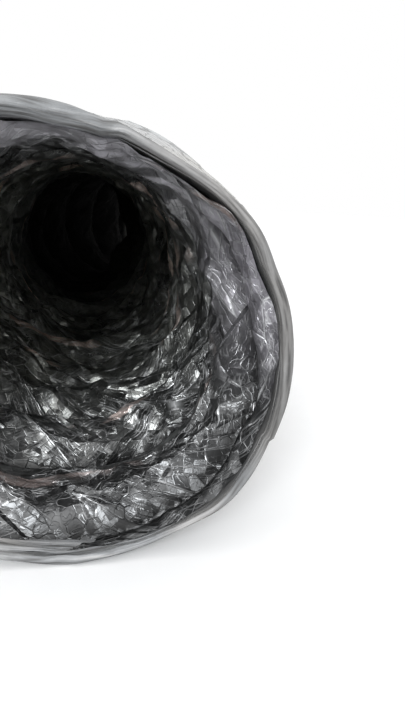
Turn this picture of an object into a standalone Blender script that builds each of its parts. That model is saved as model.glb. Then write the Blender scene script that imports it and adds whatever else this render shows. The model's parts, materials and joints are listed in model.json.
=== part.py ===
"""Flexible air duct, 100 mm nominal bore: a foil liner and a soft grey jacket with one sprung steel wire
wound between them. It lies on the floor with its open mouth facing -Y, runs straight along +Y, then
curves to the right. Metres, +Z up.

The liner, the jacket and the wire are each continuous on the real duct. Here they are cut once a turn,
so that the duct can shorten, stretch and bend. Station n is the flat plane where turn n starts.
"""

import math

import bmesh
import bpy
from mathutils import Matrix, Vector

# Driving dimensions
TURNS = 14
STRAIGHT_TURNS = 9  # from the mouth; the last turn, at the tail, is straight too
PITCH = 0.034
CURVE_PER_TURN = math.radians(12)
LINER_BORE = 0.0505  # radius to a corner, so 100 mm across the flats
LINER_WALL = 0.0004
JACKET_WALL = 0.0006
WIRE_RADIUS = 0.0005
GAP = 0.0003  # between touching pieces
FACETS = 24

# Sizes that follow
LINER_OUTSIDE = LINER_BORE + LINER_WALL
WIRE_LINE = LINER_OUTSIDE + GAP + WIRE_RADIUS
JACKET_BORE = WIRE_LINE + WIRE_RADIUS + GAP
JACKET_OUTSIDE = JACKET_BORE + JACKET_WALL

# Hems: the jacket's end is turned in over the liner's edge at both ends
CUFF_LENGTH = 0.014
CUFF_START = WIRE_RADIUS + GAP  # clear of the wire's end
CUFF_ROUNDING = 6  # corners round the lip
FOLD_WALL = 0.0006
FOLD_OUTSIDE = LINER_BORE - GAP
FOLD_SETBACK = 0.004  # from the lip to the fold's edge
FOLD_REACH = 0.006  # how far it goes into the liner

# Clear tape stuck round the outside of the mouth
TAPE_WALL = 0.0003
TAPE_FROM = -3  # facets from +X, positive upwards
TAPE_TO = 6
TAPE_FRONT = -0.010
TAPE_BACK = 0.018


def clear_scene():
    for obj in list(bpy.data.objects):
        bpy.data.objects.remove(obj)


def make_material(name, colour, roughness, metallic):
    material = bpy.data.materials.new(name)
    material.use_nodes = True
    shader = material.node_tree.nodes["Principled BSDF"]
    shader.inputs["Base Color"].default_value = (*colour, 1)
    shader.inputs["Roughness"].default_value = roughness
    shader.inputs["Metallic"].default_value = metallic
    material.diffuse_color = (*colour, 1)
    return material


def add_object(name, data, material, parent, collection):
    obj = bpy.data.objects.new(name, data)
    data.materials.append(material)
    obj.parent = parent
    collection.objects.link(obj)
    return obj


def add_empty(name, parent, collection):
    empty = bpy.data.objects.new(name, None)
    empty.empty_display_size = 0.02
    empty.parent = parent
    collection.objects.link(empty)
    return empty


def angle_of(facet):
    """The angle of a facet's first corner, from +X upwards. A flat lies at the very bottom."""
    return math.tau * (facet + 0.5) / FACETS


def on_circle(radius, angle, along=0.0):
    return Vector((radius * math.cos(angle), along, radius * math.sin(angle)))


def step_to_next(turn):
    """From one station to the next, in the first one's own axes: X right, Y along the duct, Z up."""
    if turn <= STRAIGHT_TURNS or turn == TURNS:
        return Matrix.Translation((0, PITCH, 0))
    half = CURVE_PER_TURN / 2
    chord = PITCH * math.sin(half) / half
    place = Matrix.Translation((chord * math.sin(half), chord * math.cos(half), 0))
    return place @ Matrix.Rotation(-CURVE_PER_TURN, 4, "Z")


def solid_from_rings(name, rings, closed_round):
    """A closed body swept over rings of points, each ring a closed outline. closed_round joins last to first."""
    mesh = bpy.data.meshes.new(name)
    shape = bmesh.new()
    rows = [[shape.verts.new(point) for point in ring] for ring in rings]
    pairs = list(zip(rows, rows[1:]))
    if closed_round:
        pairs.append((rows[-1], rows[0]))
    else:
        shape.faces.new(rows[0])
        shape.faces.new(rows[-1])
    for row, following in pairs:
        for i in range(len(row)):
            j = (i + 1) % len(row)
            shape.faces.new((row[i], row[j], following[j], following[i]))
    bmesh.ops.recalc_face_normals(shape, faces=shape.faces)
    shape.to_mesh(mesh)
    shape.free()
    return mesh


def tube_section(name, turn, inside, outside):
    """One turn's length of a thin tube, half a gap short of the stations at both of its ends."""
    onward = step_to_next(turn)
    outlines = []
    for facet in range(FACETS):
        angle = angle_of(facet)
        front = [on_circle(radius, angle, GAP / 2) for radius in (inside, outside)]
        back = [onward @ on_circle(radius, angle, -GAP / 2) for radius in (outside, inside)]
        outlines.append(front + back)
    return solid_from_rings(name, outlines, closed_round=True)


def wire_turn(name, turn):
    """One turn of the wire, climbing one pitch between liner and jacket. Its ends stop short of its neighbours'."""
    onward = step_to_next(turn)
    curve = bpy.data.curves.new(name, "CURVE")
    curve.dimensions = "3D"
    curve.bevel_depth = WIRE_RADIUS
    curve.bevel_resolution = 2
    curve.use_fill_caps = True
    spline = curve.splines.new("POLY")
    spline.points.add(FACETS)
    places = []
    for i in range(FACETS + 1):
        corner = on_circle(WIRE_LINE, angle_of(i))
        places.append(corner.lerp(onward @ corner, i / FACETS))
    places[0] += (places[1] - places[0]).normalized() * GAP
    places[-1] += (places[-2] - places[-1]).normalized() * GAP
    for point, place in zip(spline.points, places):
        point.co = (*place, 1)
    return curve


def cuff_outline(angle):
    """The hem's section: a thick soft band with a rounded lip at its free end."""
    inside = FOLD_OUTSIDE + GAP
    half = (JACKET_OUTSIDE - inside) / 2
    middle = inside + half
    lip = CUFF_LENGTH - half
    points = [(inside, CUFF_START), (inside, lip)]
    for i in range(1, CUFF_ROUNDING):
        turn = math.pi * i / CUFF_ROUNDING
        points.append((middle - half * math.cos(turn), lip + half * math.sin(turn)))
    points += [(JACKET_OUTSIDE, lip), (JACKET_OUTSIDE, CUFF_START)]
    return [on_circle(radius, angle, -back) for radius, back in points]


def fold_outline(angle):
    """The turned-in ply, lying inside the liner's edge."""
    inside = FOLD_OUTSIDE - FOLD_WALL
    front = FOLD_SETBACK - CUFF_LENGTH
    corners = [(inside, front), (FOLD_OUTSIDE, front), (FOLD_OUTSIDE, FOLD_REACH), (inside, FOLD_REACH)]
    return [on_circle(radius, angle, along) for radius, along in corners]


def tape_outline(angle):
    inside = JACKET_OUTSIDE + GAP
    outside = inside + TAPE_WALL
    corners = [(inside, TAPE_FRONT), (outside, TAPE_FRONT), (outside, TAPE_BACK), (inside, TAPE_BACK)]
    return [on_circle(radius, angle, along) for radius, along in corners]


def hem_pieces(end, station, cloth, collection):
    """The cuff and its turned-in fold, at the station of a free end. The tail's face the other way."""
    pieces = []
    for part, outline in (("cuff", cuff_outline), ("fold", fold_outline)):
        name = f"{end}_{part}"
        rings = [outline(angle_of(facet)) for facet in range(FACETS)]
        mesh = solid_from_rings(name, rings, closed_round=True)
        piece = add_object(name, mesh, cloth, station, collection)
        if end == "tail":
            piece.rotation_euler.z = math.pi
        pieces.append(piece)
    return pieces


def stand_on_origin(root, pieces):
    """Moves the root so that the bottom of the whole duct's box is centred on the origin."""
    bpy.context.view_layer.update()
    corners = [piece.matrix_world @ Vector(corner) for piece in pieces for corner in piece.bound_box]
    low = Vector([min(corner[axis] for corner in corners) for axis in range(3)])
    high = Vector([max(corner[axis] for corner in corners) for axis in range(3)])
    root.location = (-(low.x + high.x) / 2, -(low.y + high.y) / 2, -low.z)


def main():
    clear_scene()
    collection = bpy.data.collections.new("flexible_air_duct")
    bpy.context.scene.collection.children.link(collection)
    foil = make_material("liner_foil", (0.20, 0.20, 0.21), 0.30, 1.0)
    cloth = make_material("jacket_grey", (0.42, 0.42, 0.43), 0.55, 0.0)
    steel = make_material("spring_wire", (0.45, 0.45, 0.46), 0.35, 1.0)
    clear = make_material("clear_tape", (0.75, 0.75, 0.72), 0.20, 0.0)

    root = add_empty("duct", None, collection)
    station = root
    outer_pieces = []
    for turn in range(1, TURNS + 1):
        label = f"{turn:02d}"
        if turn > 1:
            following = add_empty(f"station_{label}", station, collection)
            following.matrix_local = step_to_next(turn - 1)
            station = following
        liner = tube_section(f"liner_{label}", turn, LINER_BORE, LINER_OUTSIDE)
        add_object(liner.name, liner, foil, station, collection)
        jacket = tube_section(f"jacket_{label}", turn, JACKET_BORE, JACKET_OUTSIDE)
        outer_pieces.append(add_object(jacket.name, jacket, cloth, station, collection))
        wire = wire_turn(f"wire_turn_{label}", turn)
        add_object(wire.name, wire, steel, station, collection)

    tail = add_empty("tail", station, collection)
    tail.matrix_local = step_to_next(TURNS)
    outer_pieces += hem_pieces("mouth", root, cloth, collection)
    outer_pieces += hem_pieces("tail", tail, cloth, collection)

    rings = [tape_outline(angle_of(facet)) for facet in range(TAPE_FROM, TAPE_TO + 1)]
    tape = solid_from_rings("mouth_tape", rings, closed_round=False)
    outer_pieces.append(add_object(tape.name, tape, clear, root, collection))

    stand_on_origin(root, outer_pieces)


main()
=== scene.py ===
"""Looks of the flexible air duct: crushed foil liner, sprung wire, soft grey jacket, hems and tape.

Liner, wire and jacket are each one continuous wall, described for any place on the duct by s, the
number of turns from the mouth's first wire, and angle, round the duct from +X upwards. Each wall is
then cut across into pieces: one named as a stretch for each slide, and one named as a bend for each
hinge.
"""

import json
import math

import bpy
import numpy as np
from mathutils import Matrix, Vector
from mathutils.bvhtree import BVHTree
from mathutils.geometry import delaunay_2d_cdt


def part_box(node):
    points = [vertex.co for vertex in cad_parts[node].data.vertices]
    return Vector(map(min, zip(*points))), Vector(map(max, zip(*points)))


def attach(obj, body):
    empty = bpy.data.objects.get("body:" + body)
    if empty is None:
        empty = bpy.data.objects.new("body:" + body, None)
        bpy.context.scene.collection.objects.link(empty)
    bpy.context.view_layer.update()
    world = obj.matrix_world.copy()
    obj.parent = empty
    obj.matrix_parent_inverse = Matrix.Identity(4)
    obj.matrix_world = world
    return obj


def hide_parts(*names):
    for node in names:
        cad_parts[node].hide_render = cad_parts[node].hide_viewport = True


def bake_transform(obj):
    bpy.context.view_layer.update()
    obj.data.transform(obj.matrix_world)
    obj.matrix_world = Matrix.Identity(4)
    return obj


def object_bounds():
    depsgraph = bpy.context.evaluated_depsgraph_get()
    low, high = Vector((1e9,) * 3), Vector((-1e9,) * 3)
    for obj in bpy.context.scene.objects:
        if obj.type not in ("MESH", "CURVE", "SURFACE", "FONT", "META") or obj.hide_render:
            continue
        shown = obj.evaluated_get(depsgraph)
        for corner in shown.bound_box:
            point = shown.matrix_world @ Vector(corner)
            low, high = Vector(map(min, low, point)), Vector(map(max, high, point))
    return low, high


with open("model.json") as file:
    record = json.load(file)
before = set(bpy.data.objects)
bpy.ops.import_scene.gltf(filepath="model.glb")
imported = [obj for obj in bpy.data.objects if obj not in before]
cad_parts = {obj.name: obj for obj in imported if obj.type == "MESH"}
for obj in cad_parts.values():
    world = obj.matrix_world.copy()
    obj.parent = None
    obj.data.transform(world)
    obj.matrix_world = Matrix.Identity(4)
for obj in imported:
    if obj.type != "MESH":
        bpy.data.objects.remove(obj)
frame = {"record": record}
cad_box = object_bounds()

MM = 0.001
UP = np.array([0.0, 0.0, 1.0])

# ---------------------------------------------------------------- the duct's middle line

JOINTS = frame["record"]["behaviour"]["joints"]
SLIDES, HINGES = (
    sorted((joint for joint in JOINTS if joint["type"] == kind), key=lambda joint: joint["child"])
    for kind in ("slide", "hinge")
)
TURNS = len(HINGES) + 1


def box_of(node):
    low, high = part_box(node)
    return np.array(low), np.array(high)


def find_middle_line():
    """The stations between turns, and the duct's direction at each, from the hinges and slides."""
    mouth_low, _ = box_of("liner_01")
    stations = [np.array(hinge["pos_m"]) for hinge in HINGES]
    stations.insert(0, np.array([stations[0][0], mouth_low[1], stations[0][2]]))
    pitch = float(np.linalg.norm(stations[2] - stations[1]))
    directions = [np.array(SLIDES[0]["axis"])]
    for slide in SLIDES:
        chord = np.array(slide["axis"])
        last = directions[-1]
        # an arc's end mirrors its start in the chord
        directions.append(2 * (chord @ last) * chord - last)
    directions.append(directions[-1])
    stations.append(stations[-1] + pitch * directions[-1])
    return np.array(stations), np.array(directions), pitch


STATIONS, DIRECTIONS, PITCH = find_middle_line()
CURVED = 0.01  # where a unit vector along the duct turns by more than this, it counts as curved
BEND_START = int(np.argmax(DIRECTIONS[:, 0] > CURVED)) - 1  # the last station before the bend
CAD_FACETS = 24  # round each tube


def corner_radius(node):
    """A tube's radius to its corners. A flat lies at the very top and at the bottom."""
    low, high = box_of(node)
    return (high[2] - low[2]) / 2 / math.cos(math.pi / CAD_FACETS)


JACKET_OUTSIDE = corner_radius("jacket_01")
LINER_OUTSIDE = corner_radius("liner_01")
WIRE_RADIUS = 0.5 * MM
WIRE_LINE = corner_radius("wire_turn_01") - WIRE_RADIUS
AROUND = math.tau * LINER_OUTSIDE
WIRE_START = math.tau / CAD_FACETS / 2  # the angle at which the wire starts, at s = 0
LIP = (box_of("mouth_cuff")[0][1] - STATIONS[0][1]) / PITCH  # s of the mouth's lip


def middle_line(s):
    """Centre, sideways and forward directions at s, for an array of s."""
    turn = np.clip(np.floor(s).astype(int), 0, TURNS - 1)
    f = (s - turn)[:, None]
    start, end = STATIONS[turn], STATIONS[turn + 1]
    leave, arrive = DIRECTIONS[turn] * PITCH, DIRECTIONS[turn + 1] * PITCH
    centre = (
        (2 * f**3 - 3 * f**2 + 1) * start
        + (f**3 - 2 * f**2 + f) * leave
        + (3 * f**2 - 2 * f**3) * end
        + (f**3 - f**2) * arrive
    )
    forward = (
        (6 * f**2 - 6 * f) * (start - end)
        + (3 * f**2 - 4 * f + 1) * leave
        + (3 * f**2 - 2 * f) * arrive
    )
    forward /= np.linalg.norm(forward, axis=1)[:, None]
    return centre, np.cross(forward, UP), forward


def place(s, angle, radius):
    centre, sideways, _ = middle_line(s)
    return centre + radius[:, None] * (
        np.cos(angle)[:, None] * sideways + np.sin(angle)[:, None] * UP
    )


def unrolled(s, angle, twist=0.0):
    """Where a point would be on a straight duct, so that textures stay put when the duct bends."""
    turned = angle + twist * s
    return np.stack(
        [LINER_OUTSIDE * np.cos(turned), s * PITCH, LINER_OUTSIDE * np.sin(turned)], axis=1
    )


def wire_phase(s, angle):
    """0 on the wire, rising to 1 at its next turn along the duct."""
    return (s - (angle - WIRE_START) / math.tau) % 1.0


# ---------------------------------------------------------------- random shapes, all seeded

LENGTH = (TURNS + 2) * PITCH


class Facets:
    """Flat facets with sharp creases between them, as in crushed foil, over the unrolled wall."""

    def __init__(self, seed, size_round, size_along, lean=0.0):
        self.lean = lean
        rng = np.random.default_rng(seed)
        columns, rows = round(AROUND / size_round), math.ceil(LENGTH / size_along) + 2
        across, along = np.meshgrid(np.arange(columns), np.arange(rows))
        jitter = rng.uniform(-0.42, 0.42, (2, rows, columns))
        across = (across + 0.5 * (along % 2) + jitter[0]) * AROUND / columns % AROUND
        along = (along - 2 + jitter[1]) * size_along
        height = rng.uniform(-1, 1, across.shape)
        points = np.stack([across.ravel(), along.ravel(), height.ravel()], axis=1)
        margin = 3 * size_round
        left = points[points[:, 0] > AROUND - margin] - (AROUND, 0, 0)
        right = points[points[:, 0] < margin] + (AROUND, 0, 0)
        points = np.concatenate([points, left, right])
        made = delaunay_2d_cdt([Vector(p[:2]) for p in points], [], [], 0, 1e-9)
        self.surface = BVHTree.FromPolygons(
            [(v.x, v.y, points[origin[0], 2]) for v, origin in zip(made[0], made[3])], made[2]
        )

    def at(self, s, angle):
        """The height at each place, from -1 to 1."""
        along = s * PITCH
        across = (angle * LINER_OUTSIDE + self.lean * along) % AROUND
        down = Vector((0, 0, -1))
        heights = np.zeros(len(s))
        for i, (u, v) in enumerate(zip(across, along)):
            hit = self.surface.ray_cast(Vector((u, v, 2)), down)[0]
            if hit is not None:
                heights[i] = hit.z
        return heights


class Waves:
    """Smooth random waves over the unrolled wall, from -1 to 1."""

    def __init__(self, seed, count_round, size_along):
        rows = math.ceil(LENGTH / size_along) + 4
        self.grid = np.random.default_rng(seed).uniform(-1, 1, (rows, count_round))
        self.size_along = size_along

    def at(self, s, angle):
        rows, columns = self.grid.shape
        across = angle / math.tau % 1.0 * columns
        along = np.clip(s * PITCH / self.size_along + 2, 0, rows - 1.001)
        i, j = np.floor(along).astype(int), np.floor(across).astype(int)
        f, g = along - i, across - j
        f, g = f * f * (3 - 2 * f), g * g * (3 - 2 * g)
        j, k = j % columns, (j + 1) % columns
        near = self.grid[i, j] * (1 - g) + self.grid[i, k] * g
        far = self.grid[i + 1, j] * (1 - g) + self.grid[i + 1, k] * g
        return near * (1 - f) + far * f


BROAD_CRUSH = Facets(11, 14 * MM, 7 * MM, lean=0.7)
LONG_CRUSH = Facets(12, 7 * MM, 15 * MM, lean=1.6)
COUNTER_CRUSH = Facets(17, 8 * MM, 18 * MM, lean=-1.3)
FINE_CRUSH = Facets(13, 4.5 * MM, 2.6 * MM, lean=0.5)
SHIFT_CRUSH = Facets(14, 8 * MM, 6 * MM, lean=0.3)
PLEAT_WAVES = Waves(15, 13, 7 * MM)
SMALL_PLEAT_WAVES = Waves(16, 24, 4 * MM)
SAG_WAVES = Waves(21, 9, 22 * MM)
OVAL_WAVES = Waves(22, 5, 90 * MM)
JACKET_WAVES = Waves(23, 46, 13 * MM)
JACKET_FINE = Waves(24, 120, 6 * MM)
JACKET_PLEATS = Waves(25, 26, 26 * MM)

# ---------------------------------------------------------------- shapes of the walls

# How the mouth is out of round: angle, width in degrees, and how far out in shares of the radius
MOUTH_DENTS = (
    (66, 19, -0.046),
    (27, 7, -0.016),
    (-18, 20, 0.026),
    (-42, 9, 0.024),
    (-90, 26, -0.022),
    (108, 16, 0.036),
    (165, 30, -0.015),
)
MOUTH_DENT_REACH = 1.3  # turns
OUT_OF_ROUND_ELSEWHERE = 0.012
KINK_COUNT = 19
KINK_SHARE = 0.012  # of the radius
KINK_DRAWS = np.random.default_rng(51)
KINK_ANGLES = np.sort(KINK_DRAWS.uniform(0, math.tau, KINK_COUNT))
KINKS = KINK_DRAWS.uniform(-1, 1, (2, KINK_COUNT))  # one row for the radius, one for the hem


def hump(angle, centre, width):
    """1 at an angle in degrees, falling away smoothly on both sides of it."""
    away = (np.degrees(angle) - centre + 180) % 360 - 180
    return np.exp(-((away / width) ** 2))


def kinked(angle, row):
    """Straight stretches with blunt corners between them, round the mouth, from -1 to 1."""
    return np.interp(angle % math.tau, KINK_ANGLES, KINKS[row], period=math.tau)


def out_of_round(s, angle):
    """The whole wall's radius changes by this, most at the mouth."""
    dent = np.zeros(len(s))
    for centre, width, share in MOUTH_DENTS:
        dent += share * hump(angle, centre, width)
    dent += KINK_SHARE * kinked(angle, 0)
    fade = np.exp(-np.clip(s - LIP, 0, None) / MOUTH_DENT_REACH)
    elsewhere = OUT_OF_ROUND_ELSEWHERE * OVAL_WAVES.at(s, angle)
    return LINER_OUTSIDE * (dent * fade + elsewhere * (1 - fade))


LINER_SAG = 9 * MM
JACKET_SAG = 3.4 * MM


def sag(s, angle, cusp=0.05):
    """0 on the wire and 1 half way to its next turn, sharp at the wire like cloth over a cord."""
    wave = np.sin(math.pi * wire_phase(s, angle))
    return ((np.sqrt(wave**2 + cusp**2) - cusp) / (math.sqrt(1 + cusp**2) - cusp)) ** 0.85


def inside_bend(s):
    """1 along the bend, where the foil bunches up on the inner side, 0 elsewhere."""
    places = (BEND_START - 0.7, BEND_START + 0.3, TURNS - 1.5, TURNS - 0.7)
    return np.interp(s, places, (0, 1, 1, 0))


TUCK_REACH = 0.42  # turns


def near_end(s):
    """1 at either lip, falling to 0 where the liner is no longer tucked into the hem."""
    t = np.clip(1 - (np.minimum(s, TURNS - s) - LIP) / TUCK_REACH, 0, 1)
    return t * t * (3 - 2 * t)


# The hem's thickness in mm: thick at the top and left, thin at the lower right
HEM_THICKNESS = 2.2
HEM_HUMPS = ((98, 34, 0.6), (-48, 20, -0.8), (180, 40, 0.3))  # angle and width in degrees, mm
HEM_KINKS = 0.45


def lip_thickness(angle):
    thick = HEM_THICKNESS
    for centre, width, extra in HEM_HUMPS:
        thick = thick + extra * hump(angle, centre, width)
    return (thick + HEM_KINKS * kinked(angle, 1)) * MM


def fold_share(angle):
    """1 where the turned-in ply stands inside the liner's edge, 0 where the liner hides it."""
    return hump(angle, -108, 26)


def pleats(waves, s, angle, lean):
    """Sharp ridges that run round the duct at a slant, 1 on their crests and 0 between them."""
    return 1 - np.clip(2.4 * np.abs(waves.at(s, angle + lean * s)), 0, 1)


def liner_radius(s, angle):
    slack = sag(s, angle)
    free = 0.2 + 0.8 * slack
    crush = 1.5 * MM * BROAD_CRUSH.at(s, angle)
    crush += 0.9 * MM * LONG_CRUSH.at(s, angle)
    crush += 0.8 * MM * COUNTER_CRUSH.at(s, angle)
    crush += 0.3 * MM * FINE_CRUSH.at(s, angle)
    crush -= 1.0 * MM * pleats(PLEAT_WAVES, s, angle, 0.5)
    crush -= 0.5 * MM * pleats(SMALL_PLEAT_WAVES, s, angle, -0.6)
    depth = LINER_SAG * (1 - 0.6 * hump(angle, 90, 50)) * (1 + 0.35 * SAG_WAVES.at(s, angle))
    depth *= 1 + 2.0 * inside_bend(s) * hump(angle, 0, 60)
    radius = LINER_OUTSIDE - 0.3 * MM - depth * slack
    radius += free * crush
    tucked = JACKET_OUTSIDE - lip_thickness(angle) - 0.5 * MM + 0.8 * MM * fold_share(angle)
    tucked += 0.6 * np.minimum(crush, 0.3 * MM)
    held = near_end(s)
    return radius * (1 - held) + tucked * held + out_of_round(s, angle)


def liner_place(s, angle):
    shifted = s + 0.04 * SHIFT_CRUSH.at(s, angle) * sag(s, angle) * (1 - near_end(s))
    return place(shifted, angle, liner_radius(s, angle))


def jacket_place(s, angle):
    slack = sag(s, angle, cusp=0.08)
    radius = JACKET_OUTSIDE + out_of_round(s, angle)
    radius -= JACKET_SAG * slack * (1 + 0.35 * SAG_WAVES.at(s, angle))
    radius += slack * 0.9 * MM * JACKET_WAVES.at(s, angle)
    radius -= slack * 0.7 * MM * pleats(JACKET_PLEATS, s, angle, 0.3)
    radius += slack * 0.2 * MM * JACKET_FINE.at(s, angle)
    return place(s, angle, radius)


# ---------------------------------------------------------------- meshes and pieces


def add_piece(name, points, faces, material):
    mesh = bpy.data.meshes.new(name)
    mesh.from_pydata([tuple(p) for p in points], [], faces)
    mesh.validate()
    mesh.materials.append(material)
    mesh.shade_smooth()
    piece = bpy.data.objects.new(name, mesh)
    bpy.context.scene.collection.objects.link(piece)
    return piece


def store(piece, name, values):
    """Keeps one number or one vector for each point, for the materials."""
    kind = "FLOAT_VECTOR" if values.ndim == 2 else "FLOAT"
    attribute = piece.data.attributes.new(name, kind, "POINT")
    attribute.data.foreach_set("vector" if values.ndim == 2 else "value", values.ravel())


def point_spacing(s):
    """How far apart the liner's points are: finest where the mouth shows them."""
    return min(1.0 + 0.25 * max(s, 0), 2.8) * MM


def ring_angles(s):
    count = round(AROUND / point_spacing(s))
    return math.tau * np.arange(count) / count


CREASE_ANGLE = math.radians(16)  # sharper folds in the liner's mesh stay sharp


def liner_patch(name, start, end, material):
    """A stretch of the liner as a net of irregular triangles, which shares its end rings."""
    spacing = point_spacing((start + end) / 2)
    rng = np.random.default_rng(int(1000 * (start + 2)))
    rows = max(1, round((end - start) * PITCH / (spacing * 0.9)))
    columns = round(AROUND / spacing)
    s_lists, angle_lists, edges = [], [], []
    count = 0
    for at in (start, end):
        angles = np.append(ring_angles(at), math.tau)
        s_lists.append(np.full(len(angles), at))
        angle_lists.append(angles)
        edges += [(count + i, count + i + 1) for i in range(len(angles) - 1)]
        count += len(angles)
    rows_s = start + (end - start) * (np.arange(1, rows)) / rows
    side = len(rows_s)
    for angle in (0.0, math.tau):
        s_lists.append(rows_s)
        angle_lists.append(np.full(side, angle))
    step = (end - start) / rows
    for row, at in enumerate(rows_s):
        jitter = rng.uniform(-0.32, 0.32, (2, columns))
        stagger = 0.25 * (row % 2 * 2 - 1)
        angles = (np.arange(columns) + 0.5 + stagger + jitter[0]) / columns
        keep = (angles > 0.4 / columns) & (angles < 1 - 0.4 / columns)
        s_lists.append((at + jitter[1] * step)[keep])
        angle_lists.append(math.tau * angles[keep])
    s, angle = np.concatenate(s_lists), np.concatenate(angle_lists)
    flat = [Vector((a * LINER_OUTSIDE, at * PITCH)) for at, a in zip(s, angle)]
    made = delaunay_2d_cdt(flat, edges, [], 0, 1e-9)
    order = [origin[0] for origin in made[3]]
    s, angle = s[order], angle[order]
    wrapped = np.isclose(angle, math.tau)
    keys = {round(at, 7): i for i, (at, a) in enumerate(zip(s, angle)) if a == 0.0}
    target = [keys[round(at, 7)] if w else i for i, (at, w) in enumerate(zip(s, wrapped))]
    faces = [tuple(target[i] for i in face) for face in made[2]]
    used = sorted({i for face in faces for i in face})
    renumber = {old: new for new, old in enumerate(used)}
    faces = [tuple(renumber[i] for i in reversed(face)) for face in faces]
    s, angle = s[used], angle[used]
    piece = add_piece(name, liner_place(s, angle), faces, material)
    store(piece, "unrolled", unrolled(s, angle))
    store(piece, "slanted", unrolled(s, angle, twist=1.3))
    store(piece, "counter_slanted", unrolled(s, angle, twist=-1.1))
    store(piece, "phase", wire_phase(s, angle))
    piece.data.set_sharp_from_angle(angle=CREASE_ANGLE)
    return piece


def grid_patch(name, start, end, place_at, columns, spacing, material):
    """A stretch of a smooth wall as a grid of quads. place_at gives the point for s and angle."""
    rows = max(2, round((end - start) * PITCH / spacing))
    s, angle = np.meshgrid(
        np.linspace(start, end, rows + 1), math.tau * np.arange(columns) / columns, indexing="ij"
    )
    s, angle = s.ravel(), angle.ravel()
    faces = []
    for row in range(rows):
        for column in range(columns):
            following = (column + 1) % columns
            near, far = row * columns, (row + 1) * columns
            faces.append((near + column, near + following, far + following, far + column))
    piece = add_piece(name, place_at(s, angle), faces, material)
    store(piece, "unrolled", unrolled(s, angle))
    return piece


def wire_patch(name, start, end, material, sides=10, per_turn=120):
    """The stretch of the wire's helix between two planes."""
    count = max(3, round((end - start) * per_turn) + 1)
    s = np.linspace(start, end, count)
    angle = s * math.tau + WIRE_START
    line = place(s, angle, WIRE_LINE + out_of_round(s, angle))
    centre, _, _ = middle_line(s)
    outward = line - centre
    outward /= np.linalg.norm(outward, axis=1)[:, None]
    along = np.gradient(line, axis=0)
    along /= np.linalg.norm(along, axis=1)[:, None]
    across = np.cross(along, outward)
    points = []
    for side in range(sides):
        turn = math.tau * side / sides
        points.append(line + WIRE_RADIUS * (math.cos(turn) * outward + math.sin(turn) * across))
    points = np.stack(points, axis=1).reshape(-1, 3)
    faces = [tuple(range(sides)), tuple(reversed(range((count - 1) * sides, count * sides)))]
    for i in range(count - 1):
        for side in range(sides):
            following = (side + 1) % sides
            near, far = i * sides, (i + 1) * sides
            faces.append((near + side, far + side, far + following, near + following))
    piece = add_piece(name, points, faces, material)
    store(piece, "unrolled", points)
    return piece


# Each wall's bend piece reaches this many turns either side of a station; its stretch piece runs
# between there and the next
BEND_HALF = 7 * MM / PITCH
MOUTH_FIRM = 0.12  # turns behind the first wire, where join starts for the first stretch piece


def walls(start, end, name, make, node):
    """Cuts one wall into stretch and bend pieces, passes each to join, and hides the wall's parts
    from the model.
    """
    for turn in range(1, TURNS):
        first = start if turn == 1 else turn - 1 + BEND_HALF
        bend, onward = turn - BEND_HALF, turn + BEND_HALF
        piece = make(f"{name}_stretch_{turn:02d}", first, bend)
        join(piece, max(first, MOUTH_FIRM), bend)
        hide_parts(f"{node}_{turn:02d}")
        piece = make(f"{name}_bend_{turn:02d}", bend, end if turn == TURNS - 1 else onward)
        ends = (f"wall_{turn:02d}", bend), (f"turn_{turn + 1:02d}", onward)
        # The bend is the same either way round, but with all joints at their limit the arithmetic
        # loses its precision at a few hinges, so the order alternates.
        near, far = reversed(ends) if turn % 2 else ends
        join(piece, near[1], far[1])
        if turn == TURNS - 1:
            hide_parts(f"{node}_{TURNS:02d}")


def join(piece, start, end):
    """Finds the middle line at the two planes, and bakes the piece's transform into its mesh."""
    centres, _, forwards = middle_line(np.array([start, end, (start + end) / 2]))
    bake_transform(piece)


def band(name, profile, material, tail, columns=300):
    """A closed soft band round an end. profile(angle) gives loops of radius and distance along."""
    angle = math.tau * np.arange(columns) / columns
    radius, along = profile(angle)  # each of shape (columns, loop)
    loop = radius.shape[1]
    s = LIP + along / PITCH
    if tail:
        s = TURNS - s
    angles = np.repeat(angle, loop)
    points = place(s.ravel(), angles, radius.ravel())
    faces = []
    for i in range(columns):
        j = (i + 1) % columns
        for a in range(loop):
            b = (a + 1) % loop
            face = (i * loop + a, j * loop + a, j * loop + b, i * loop + b)
            faces.append(face if tail else tuple(reversed(face)))
    piece = add_piece(name, points, faces, material)
    # textures go by the length over the cloth, so that they aren't smeared across the lip's face
    outwards, inwards = (np.diff(part, axis=1, prepend=part[:, :1]) for part in (radius, along))
    over = LIP + np.cumsum(np.hypot(outwards, inwards), axis=1) / PITCH
    store(piece, "unrolled", unrolled(over.ravel(), angles))
    return piece


# ---------------------------------------------------------------- hems at the two ends

HEM_WAVES = Waves(31, 26, 400 * MM)
HEM_FOLDS = Waves(32, 70, 400 * MM)
EDGE_WAVES = Waves(33, 34, 400 * MM)
STREAK_WAVES = Waves(34, 16, 1 * MM)
STREAK_SPACING = 0.6 * MM
STREAK_DEPTH = 0.2  # of the ply's thickness


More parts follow.
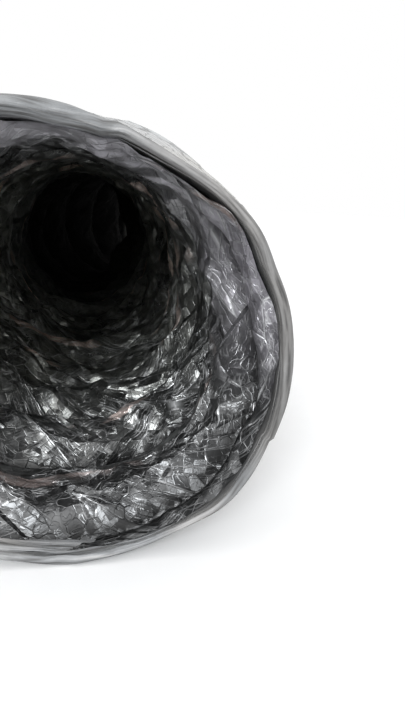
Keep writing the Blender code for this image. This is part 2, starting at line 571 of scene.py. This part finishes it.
def hem_profile(inner, thickness, set_back, reach, wave_at, seed_shift):
    """A folded ply: a flattened loop with a soft rounded lip. Lengths run inwards from the lip."""

    def profile(angle):
        at = np.full(len(angle), wave_at)
        waves = HEM_WAVES.at(at, angle + seed_shift)
        folds = HEM_FOLDS.at(at, angle + 2 * seed_shift)
        edge = EDGE_WAVES.at(at, angle + 3 * seed_shift)
        thick = thickness(angle) * (1 + 0.14 * waves + 0.06 * folds)
        base = inner(angle) + out_of_round(np.full(len(angle), LIP), angle) + 0.2 * MM * waves
        front = set_back(angle) + 0.6 * MM * edge + 0.25 * MM * folds
        turns = np.linspace(-math.pi / 2, math.pi / 2, 13)
        lip_radius = base[:, None] + thick[:, None] / 2 * (1 + np.sin(turns))
        lip_along = front[:, None] + thick[:, None] * 0.55 * (1 - np.cos(turns))
        steps = np.linspace(0, 1, 9)[1:]
        outer_along = lip_along[:, -1:] + (reach - lip_along[:, -1:]) * steps
        outer_radius = base[:, None] + thick[:, None] * (1 - 0.10 * np.sin(math.pi * steps) ** 2)
        inner_along = outer_along[:, ::-1]
        inner_radius = base[:, None] + 0.06 * thick[:, None] * np.sin(math.pi * steps[::-1])
        radius = np.concatenate([lip_radius, outer_radius, inner_radius], axis=1)
        along = np.concatenate([lip_along, outer_along, inner_along], axis=1)
        lane = np.arange(radius.shape[1]) * STREAK_SPACING / PITCH
        lanes, round_angles = np.tile(lane, len(angle)), np.repeat(angle + seed_shift, len(lane))
        streaks = STREAK_WAVES.at(lanes, round_angles)
        return radius + STREAK_DEPTH * thick[:, None] * streaks.reshape(radius.shape), along

    return profile


def add_hems(cloth):
    hems = {
        "cuff": hem_profile(
            inner=lambda a: JACKET_OUTSIDE - lip_thickness(a),
            thickness=lip_thickness,
            set_back=lambda a: 0.3 * MM * np.ones(len(a)),
            reach=16 * MM,
            wave_at=3.0,
            seed_shift=0.4,
        ),
        "fold": hem_profile(
            inner=lambda a: JACKET_OUTSIDE - lip_thickness(a) - (0.2 + 1.2 * fold_share(a)) * MM,
            thickness=lambda a: (0.3 + 1.1 * fold_share(a)) * MM,
            set_back=lambda a: (2.4 - 1.0 * fold_share(a)) * MM,
            reach=6 * MM,
            wave_at=6.0,
            seed_shift=1.7,
        ),
    }
    for end, body, tail in (("mouth", "turn_01", False), ("tail", f"turn_{TURNS:02d}", True)):
        for part, profile in hems.items():
            piece = band(f"{end}_{part}_cloth", profile, cloth, tail)
            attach(piece, body)
            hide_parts(f"{end}_{part}")


# ---------------------------------------------------------------- clear tape round the mouth

TAPE_FROM, TAPE_TO = math.radians(-46), math.radians(96)
TAPE_SET_BACK = 2.5 * MM
TAPE_CLEAR = 0.25 * MM  # off the cloth where it sticks
TAPE_FADE = 0.15  # radians within which each end lies flat
TAPE_CRUSH = Facets(41, 7 * MM, 5 * MM, lean=0.4)
TAPE_WAVES = Waves(42, 22, 30 * MM)


def add_tape(material):
    columns, rows = 190, 26
    _, high = box_of("mouth_tape")
    start = LIP + TAPE_SET_BACK / PITCH
    end = (high[1] - STATIONS[0][1]) / PITCH
    s, angle = np.meshgrid(
        np.linspace(start, end, rows + 1),
        np.linspace(TAPE_FROM, TAPE_TO, columns + 1),
        indexing="ij",
    )
    s, angle = s.ravel(), angle.ravel()
    ragged = 0.035 * TAPE_WAVES.at(np.full(len(s), 1.0), angle)
    s = s + ragged * (s < (start + end) / 2)
    upper = hump(angle, 70, 17)  # where it has come loose
    lift = np.clip(0.6 + 0.2 * upper + 0.4 * TAPE_WAVES.at(s, angle), 0, 1)
    from_edge = np.minimum(angle - TAPE_FROM, TAPE_TO - angle)
    loose = np.clip(from_edge / TAPE_FADE, 0, 1)
    radius = JACKET_OUTSIDE + out_of_round(s, angle) + TAPE_CLEAR
    radius += loose * lift * (0.1 + 1.8 * upper) * MM * (1 - 0.8 * (s - start) / (end - start))
    radius += loose * (0.22 + 0.25 * upper) * MM * TAPE_CRUSH.at(s, angle)
    faces = []
    for row in range(rows):
        for column in range(columns):
            near = row * (columns + 1) + column
            far = near + columns + 1
            faces.append((near, near + 1, far + 1, far))
    piece = add_piece("mouth_tape_film", place(s, angle, radius), faces, material)
    store(piece, "unrolled", unrolled(s, angle))
    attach(piece, "turn_01")
    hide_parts("mouth_tape")


# ---------------------------------------------------------------- materials


class Nodes:
    """Short names for building a Principled material out of nodes."""

    def __init__(self, name):
        self.material = bpy.data.materials.new(name)
        self.material.use_nodes = True
        self.tree = self.material.node_tree
        self.shader = self.tree.nodes["Principled BSDF"]

    def add(self, kind, inputs=None, **settings):
        node = self.tree.nodes.new(kind)
        for key, value in settings.items():
            setattr(node, key, value)
        for key, value in (inputs or {}).items():
            self.set(node, key, value)
        return node

    def set(self, node, key, value):
        if isinstance(value, bpy.types.NodeSocket):
            self.tree.links.new(value, node.inputs[key])
        else:
            node.inputs[key].default_value = value

    def attribute(self, name, output="Vector"):
        return self.add("ShaderNodeAttribute", attribute_name=name).outputs[output]

    def noise(self, place, scale, detail):
        inputs = {"Vector": place, "Scale": scale, "Detail": detail, "Roughness": 0.55}
        return self.add("ShaderNodeTexNoise", inputs).outputs["Fac"]

    def cracks(self, place, scale):
        """0 along the edges of random cells, rising inside them."""
        inputs = {"Vector": place, "Scale": scale}
        node = self.add("ShaderNodeTexVoronoi", inputs, feature="DISTANCE_TO_EDGE")
        return node.outputs["Distance"]

    def facets(self, place, scale, slope, width, folds):
        """Crushed foil's flat facets: their height, a random shade, and lines of creases and folds.

        Each facet lies in a random plane. Its fine folds, about as many to the metre as folds says,
        end at its edges. width is the creases' width in shares of a facet.
        """
        cells = self.add("ShaderNodeTexVoronoi", {"Vector": place, "Scale": scale}, feature="F1")
        lean = self.vector("SUBTRACT", cells.outputs["Color"], (0.5, 0.5, 0.5))
        away = self.vector("SUBTRACT", place, cells.outputs["Position"])
        rise = self.vector("DOT_PRODUCT", lean, away, output="Value")
        height = self.maths("MULTIPLY", rise, slope)
        edges = self.ramp(self.cracks(place, scale), 0.0, width, 1.0, 0.0)
        # these stretches of crease lines are painted as highlights and shade by the foil
        painted_crease_light_and_shade = self.ramp(self.noise(place, 0.9 * scale, detail=1), 0.40, 0.56)
        edges = self.maths("MULTIPLY", edges, painted_crease_light_and_shade)
        shift = self.vector("MULTIPLY", cells.outputs["Color"], (3.0, 3.0, 3.0))
        fold = self.noise(self.vector("ADD", place, shift), folds, detail=1)
        off_crest = self.maths("ABSOLUTE", self.maths("SUBTRACT", fold, 0.5), 0.0)
        crest = self.ramp(off_crest, 0.0, 0.035, 1.0, 0.0)
        fine = self.maths("MULTIPLY", crest, self.ramp(fold, 0.3, 0.6, 0.9, 0.5))
        patchy = self.ramp(self.noise(place, 0.5 * scale, detail=2), 0.42, 0.58, 0.15, 1.0)
        lines = self.maths("MAXIMUM", edges, self.maths("MULTIPLY", fine, patchy))
        return height, self.part(cells.outputs["Color"], "X"), lines

    def part(self, vector, axis):
        return self.add("ShaderNodeSeparateXYZ", {0: vector}).outputs[axis]

    def spread(self, value):
        """One number as all three parts of a vector."""
        return self.add("ShaderNodeCombineXYZ", {"X": value, "Y": value, "Z": value}).outputs[0]

    def blend(self, share, first, second):
        inputs = {"Factor": share, "A": first, "B": second}
        return self.add("ShaderNodeMix", inputs).outputs["Result"]

    def vector(self, operation, first, second, output="Vector"):
        node = self.add("ShaderNodeVectorMath", {0: first, 1: second}, operation=operation)
        return node.outputs[output]

    def ramp(self, value, low, high, to_low=0.0, to_high=1.0):
        inputs = {
            "Value": value,
            "From Min": low,
            "From Max": high,
            "To Min": to_low,
            "To Max": to_high,
        }
        return self.add("ShaderNodeMapRange", inputs).outputs["Result"]

    def mix(self, share, first, second):
        inputs = {"Factor": share, 6: first, 7: second}
        return self.add("ShaderNodeMix", inputs, data_type="RGBA").outputs[2]

    def maths(self, operation, first, second):
        return self.add("ShaderNodeMath", {0: first, 1: second}, operation=operation).outputs[0]

    def bump(self, height, distance, strength=1.0, normal=None):
        inputs = {"Height": height, "Distance": distance, "Strength": strength}
        if normal is not None:
            inputs["Normal"] = normal
        return self.add("ShaderNodeBump", inputs).outputs["Normal"]

    def stretch(self, place, scale):
        """Texture places squeezed along some axes, so that its marks come out long."""
        node = self.add("ShaderNodeMapping", {"Vector": place, "Scale": scale})
        return node.outputs["Vector"]

    def finish(self, **inputs):
        for key, value in inputs.items():
            self.set(self.shader, key.replace("_", " "), value)
        return self.material


def grey(value, warmth=0.0):
    return (value * (1 + warmth), value, value * (1 - warmth), 1)


def foil_material():
    """Dark metallised foil: flat facets, painted highlights and shade along the creases between
    them, a brownish seam.
    """
    n = Nodes("crushed_foil")
    at = n.attribute("unrolled")
    inwards, height_up = n.part(at, "Y"), n.part(at, "Z")
    slanted, counter = n.attribute("slanted"), n.attribute("counter_slanted")

    # facets: each region's folds lie one way, and small facets cross all of them
    layers = [
        n.facets(n.stretch(place, (1.0, squeeze, 1.0)), scale, slope, width, folds)
        for place, squeeze, scale, slope, width, folds in (
            (slanted, 0.35, 150, 0.40, 0.05, 420),
            (counter, 0.40, 180, 0.38, 0.05, 480),
            (at, 2.6, 60, 0.42, 0.028, 190),
            (at, 1.4, 260, 0.38, 0.05, 420),
        )
    ]
    lie = n.ramp(n.noise(at, 36, detail=1), 0.47, 0.53)
    plain = n.ramp(n.noise(slanted, 30, detail=1), 0.50, 0.56)
    height, shade, creases = (
        n.blend(plain, n.blend(lie, a, b), c) for a, b, c in zip(*layers[:3])
    )
    small_height, small_shade, small_creases = layers[3]
    height = n.maths("ADD", height, small_height)
    creases = n.maths("MAXIMUM", creases, n.maths("MULTIPLY", small_creases, 0.65))
    shade = n.ramp(shade, 0.1, 0.9, 0.75, 1.25)
    shade = n.maths("MULTIPLY", shade, n.ramp(small_shade, 0.1, 0.9, 0.85, 1.15))
    # painted light and shade: the facets are painted darker at the mouth and lighter deeper in, up
    # to four turns in
    shade = n.maths("MULTIPLY", shade, n.ramp(inwards, 0.0, 4 * PITCH, 0.72, 1.9))
    dull = n.noise(at, 70, detail=4)
    tone = n.mix(n.ramp(dull, 0.35, 0.7), grey(0.12, -0.02), grey(0.27, -0.01))

    # near the mouth, on its upper half: a paler film, partly its own tint and partly painted light,
    # and painted bright light in patches at the very top
    above = n.ramp(height_up, -0.3 * LINER_OUTSIDE, 0.4 * LINER_OUTSIDE)
    top = n.ramp(height_up, 0.65 * LINER_OUTSIDE, 0.90 * LINER_OUTSIDE)
    patches = n.ramp(n.noise(counter, 75, detail=2), 0.46, 0.54, 0.3, 1.0)
    below_top = n.ramp(top, 0.0, 1.0, 1.0, 0.0)
    above = n.maths("MULTIPLY", above, n.maths("MAXIMUM", below_top, patches))
    film_and_painted_light = n.maths("MULTIPLY", n.ramp(inwards, 0.75 * PITCH, 0.0), above)
    # painted light: the film is paler than the foil, and palest at the very top
    tone = n.mix(film_and_painted_light, tone, n.mix(top, (0.50, 0.48, 0.53, 1), (0.84, 0.82, 0.88, 1)))

    # the overlap seam, half way between the wires
    off_seam = n.maths("ABSOLUTE", n.maths("SUBTRACT", n.attribute("phase", "Fac"), 0.5), 0.0)
    patchy = n.ramp(n.noise(at, 26, detail=2), 0.54, 0.6)
    brown = n.maths("MULTIPLY", n.ramp(off_seam, 0.08, 0.065), patchy)
    tone = n.mix(brown, tone, (0.46, 0.375, 0.355, 1))
    tone = n.vector("MULTIPLY", tone, n.spread(shade))
    yellower_deeper_in = n.mix(n.ramp(inwards, 0.0, 3 * PITCH), grey(1), (1.0, 1.01, 0.92, 1))
    tone = n.vector("MULTIPLY", tone, yellower_deeper_in)

    # painted highlights and shade on the creases, painted shade in the grooves over the wire, and
    # near-black painted shade from deep inside to near the tail
    # the creases are painted: pale as highlights on raised ones, near-black as shade on the others
    raised = n.ramp(n.noise(at, 90, detail=1), 0.42, 0.5)
    painted_crease_light_and_shade = n.mix(raised, grey(0.04), grey(0.72, -0.01))
    tone = n.mix(n.maths("MULTIPLY", creases, 0.85), tone, painted_crease_light_and_shade)
    # painted shade: the foil is darker where it dips over the wire
    tone = n.mix(n.ramp(off_seam, 0.34, 0.46, 0.0, 0.9), tone, grey(0.02))
    # painted shade: deep inside, the foil is near-black, rough and not metallic, so light from the
    # open tail doesn't show
    deep = n.ramp(inwards, 5.5 * PITCH, 8.5 * PITCH)
    before_tail = n.ramp(inwards, (TURNS - 0.1) * PITCH, (TURNS - 0.45) * PITCH)
    painted_deep_shade = n.maths("MULTIPLY", deep, before_tail)
    colour = n.mix(painted_deep_shade, tone, grey(0.006))

    relief = n.maths("ADD", height, n.maths("MULTIPLY", creases, 0.18 * MM))
    normal = n.bump(relief, 1.0, 1.0)
    fine_folds = n.noise(n.stretch(counter, (1.0, 0.5, 1.0)), 420, detail=3)
    normal = n.bump(fine_folds, 0.25 * MM, 0.6, normal)
    matte = n.maths("MAXIMUM", painted_deep_shade, n.maths("MULTIPLY", creases, 0.6))
    matte = n.maths("MAXIMUM", matte, n.maths("MULTIPLY", n.maths("MAXIMUM", film_and_painted_light, brown), 0.5))
    return n.finish(
        Base_Color=colour,
        Roughness=n.maths("MAXIMUM", n.ramp(dull, 0.3, 0.75, 0.25, 0.38), painted_deep_shade),
        Metallic=n.ramp(matte, 0.0, 1.0, 0.9, 0.0),
        Normal=normal,
    )


def cloth_material(name, dark, light, streaked=0.0):
    """Soft grey plastic-coated cloth: a fine weave under the coating, dust and wrinkles.

    streaked, from 0 to 1, is for hems: ripples that run round them, with painted shade and
    highlight along them, and painted light that makes them lighter at the top and bottom and darker
    at their sides.
    """
    n = Nodes(name)
    at = n.attribute("unrolled")
    clouds = n.ramp(n.noise(at, 30, detail=4), 0.3, 0.7)
    grime = n.noise(at, 160, detail=5)
    round_ripples = n.noise(n.stretch(at, (0.09, 1.0, 0.09)), 900, detail=3)
    warm = n.ramp(n.noise(at, 22, detail=2), 0.42, 0.6)
    tone = n.mix(clouds, grey(dark, -0.03), grey(light, -0.02))
    tone = n.mix(n.maths("MULTIPLY", warm, 0.6), tone, grey(light, 0.06))
    tone = n.mix(n.ramp(grime, 0.58, 0.8, 0.0, 0.5), tone, grey(dark * 0.6, 0.04))
    # painted shade and highlight: dark and light streaks along the ripples round a hem
    tone = n.mix(n.ramp(round_ripples, 0.5, 0.68, 0.0, streaked), tone, grey(dark * 0.35, 0.03))
    tone = n.mix(n.ramp(round_ripples, 0.46, 0.28, 0.0, streaked), tone, grey(light * 1.35, 0.01))
    if streaked:
        # painted light and shade: a hem is lighter at the top and bottom, darker at its sides
        height_up = n.part(at, "Z")
        below = n.ramp(height_up, -0.98 * LINER_OUTSIDE, -0.3 * LINER_OUTSIDE, 1.25, 0.78)
        on_top = n.ramp(height_up, 0.2 * LINER_OUTSIDE, 0.8 * LINER_OUTSIDE, 0.78, 1.2)
        tone = n.vector("MULTIPLY", tone, n.spread(n.maths("MAXIMUM", below, on_top)))
    wrinkles = n.noise(n.stretch(at, (1.0, 0.45, 1.0)), 170, detail=4)
    normal = n.bump(wrinkles, 0.6 * MM, 0.7)
    normal = n.bump(n.cracks(n.stretch(at, (1.0, 0.5, 1.0)), 90), 1.2 * MM, 0.25, normal)
    normal = n.bump(round_ripples, 0.5 * MM, streaked, normal)
    normal = n.bump(n.noise(at, 2200, detail=1), 0.06 * MM, 0.4, normal)
    return n.finish(
        Base_Color=tone,
        Roughness=n.ramp(grime, 0.3, 0.7, 0.38, 0.6),
        Normal=normal,
        Sheen_Weight=0.08,
        Sheen_Roughness=0.4,
    )


def steel_material():
    n = Nodes("drawn_steel")
    at = n.attribute("unrolled")
    streaks = n.noise(at, 800, detail=3)
    tone = n.mix(n.ramp(streaks, 0.35, 0.7), grey(0.30), grey(0.48))
    return n.finish(
        Base_Color=tone,
        Roughness=n.ramp(streaks, 0.3, 0.7, 0.25, 0.5),
        Metallic=1.0,
        Normal=n.bump(streaks, 0.05 * MM, 0.5),
    )


def tape_material():
    """Clear glossy film with crinkles, painted bluish at the top as a reflection, where yellowish
    glue shows beside it.
    """
    n = Nodes("clear_film")
    at = n.attribute("unrolled")
    height_up = n.part(at, "Z")
    less_at_top = n.ramp(height_up, 0.93 * LINER_OUTSIDE, 0.86 * LINER_OUTSIDE, -0.25, 0.15)
    glue = n.maths("ADD", n.noise(at, 60, detail=3), less_at_top)
    # painted reflection: the bluish colour at the top; the yellowish one is glue
    tone = n.mix(n.ramp(glue, 0.40, 0.60), (0.54, 0.73, 0.82, 1), (0.90, 0.83, 0.46, 1))
    clearer = n.ramp(height_up, 0.66 * LINER_OUTSIDE, 0.54 * LINER_OUTSIDE)
    tone = n.mix(clearer, tone, (0.60, 0.62, 0.61, 1))
    creases = n.ramp(n.cracks(n.stretch(at, (1.0, 1.7, 1.0)), 240), 0.0, 0.09)
    tone = n.mix(creases, grey(0.75), tone)
    normal = n.bump(creases, 0.2 * MM, 0.5)
    normal = n.bump(n.noise(at, 250, detail=2), 0.12 * MM, 0.4, normal)
    crease_alpha = n.ramp(clearer, 0.0, 1.0, 0.75, 0.5)
    film_alpha = n.ramp(clearer, 0.0, 1.0, 0.38, 0.22)
    return n.finish(
        Base_Color=tone,
        Roughness=n.ramp(glue, 0.35, 0.7, 0.08, 0.22),
        Normal=normal,
        Alpha=n.ramp(creases, 0.0, 1.0, crease_alpha, film_alpha),
        Coat_Weight=0.6,
        Coat_Roughness=0.08,
    )


def floor_material():
    """Paler to the camera than to the light that falls back from it on the duct."""
    n = Nodes("pale_floor")
    at = n.add("ShaderNodeTexCoord").outputs["Object"]
    speckle = n.noise(at, 40, detail=4)
    seen = n.mix(n.ramp(speckle, 0.3, 0.7), grey(0.91), grey(0.93))
    tone = n.mix(n.add("ShaderNodeLightPath").outputs["Is Camera Ray"], grey(0.34), seen)
    return n.finish(Base_Color=tone, Roughness=0.7)


# ---------------------------------------------------------------- floor, light and camera


FLOOR_SIZE = 6
FLOOR_GAP = 0.3 * MM


def add_floor():
    height = float(cad_box[0][2]) - FLOOR_GAP
    bpy.ops.mesh.primitive_plane_add(size=FLOOR_SIZE, location=(0, 0, height))
    floor = bpy.context.object
    floor.name = "floor"
    floor.data.materials.append(floor_material())


# Where a big soft window stands, and how bright the studio is away from it and towards it
WINDOW_SIDE = (-0.2, -0.65, 0.73)
WINDOW_FADE = {"From Min": -0.5, "From Max": 0.9, "To Min": 0.15, "To Max": 1.4}
SUN_SIDE = (-0.35, -0.8, 0.46)
SUN_STRENGTH = 2.2
SUN_SIZE = math.radians(28)
SUN_COLOUR = (0.94, 0.97, 1)


def add_light():
    """A pale studio: most of its light falls from above and before the mouth."""
    world = bpy.data.worlds.new("studio")
    bpy.context.scene.world = world
    world.use_nodes = True
    tree = world.node_tree
    background = tree.nodes["Background"]
    direction = tree.nodes.new("ShaderNodeTexCoord").outputs["Generated"]
    facing = tree.nodes.new("ShaderNodeVectorMath")
    facing.operation = "DOT_PRODUCT"
    facing.inputs[1].default_value = WINDOW_SIDE
    tree.links.new(direction, facing.inputs[0])
    fade = tree.nodes.new("ShaderNodeMapRange")
    fade.interpolation_type = "SMOOTHSTEP"
    for key, value in WINDOW_FADE.items():
        fade.inputs[key].default_value = value
    tree.links.new(facing.outputs["Value"], fade.inputs["Value"])
    seen = tree.nodes.new("ShaderNodeMix")
    light_path = tree.nodes.new("ShaderNodeLightPath")
    tree.links.new(light_path.outputs["Is Camera Ray"], seen.inputs["Factor"])
    tree.links.new(fade.outputs["Result"], seen.inputs["A"])
    seen.inputs["B"].default_value = 1.0
    tree.links.new(seen.outputs["Result"], background.inputs["Strength"])
    background.inputs["Color"].default_value = (1, 1, 1, 1)
    sun = bpy.data.lights.new("window", "SUN")
    sun.energy = SUN_STRENGTH
    sun.angle = SUN_SIZE
    sun.color = SUN_COLOUR
    lamp = bpy.data.objects.new("window", sun)
    lamp.rotation_euler = Vector(SUN_SIDE).to_track_quat("Z", "Y").to_euler()
    bpy.context.scene.collection.objects.link(lamp)
    bpy.context.scene.view_settings.view_transform = "Standard"


# Where the camera stands, in rim radii from the middle of the lip, and how it is turned
CAMERA_OFFSET = np.array([0.131, -2.099, 0.728])
CAMERA_DOWN, CAMERA_RIGHT = math.radians(18.24), math.radians(11.68)
FOCAL_LENGTH = 26.0


def add_camera():
    middle = middle_line(np.array([LIP]))[0][0]
    data = bpy.data.cameras.new("camera")
    data.lens = FOCAL_LENGTH
    data.clip_start = 0.005
    camera = bpy.data.objects.new("camera", data)
    camera.location = middle + CAMERA_OFFSET * JACKET_OUTSIDE
    tilt = Matrix.Rotation(math.pi / 2 - CAMERA_DOWN, 4, "X")
    camera.rotation_euler = (tilt @ Matrix.Rotation(-CAMERA_RIGHT, 4, "Y")).to_euler()
    bpy.context.scene.collection.objects.link(camera)
    bpy.context.scene.camera = camera


# ---------------------------------------------------------------- everything together


LINER_SET_BACK = 1.6 * MM  # from the lip to the liner's edge
JACKET_PAST_END = 0.02  # turns, under the hem
JACKET_COLUMNS, JACKET_SPACING = 240, 1.6 * MM


def main():
    foil = foil_material()
    cloth = cloth_material("jacket_cloth", 0.20, 0.28)
    hem = cloth_material("hem_cloth", 0.17, 0.25, streaked=0.85)
    steel = steel_material()
    add_camera()
    add_light()
    add_floor()

    def liner(name, start, end):
        return liner_patch(name, start, end, foil)

    def jacket(name, start, end):
        return grid_patch(name, start, end, jacket_place, JACKET_COLUMNS, JACKET_SPACING, cloth)

    def wire(name, start, end):
        return wire_patch(name, start, end, steel)

    edge = LIP + LINER_SET_BACK / PITCH
    walls(edge, TURNS - edge, "liner", liner, "liner")
    walls(-JACKET_PAST_END, TURNS + JACKET_PAST_END, "jacket", jacket, "jacket")
    walls(0.0, TURNS, "wire", wire, "wire_turn")
    add_hems(hem)
    add_tape(tape_material())


main()
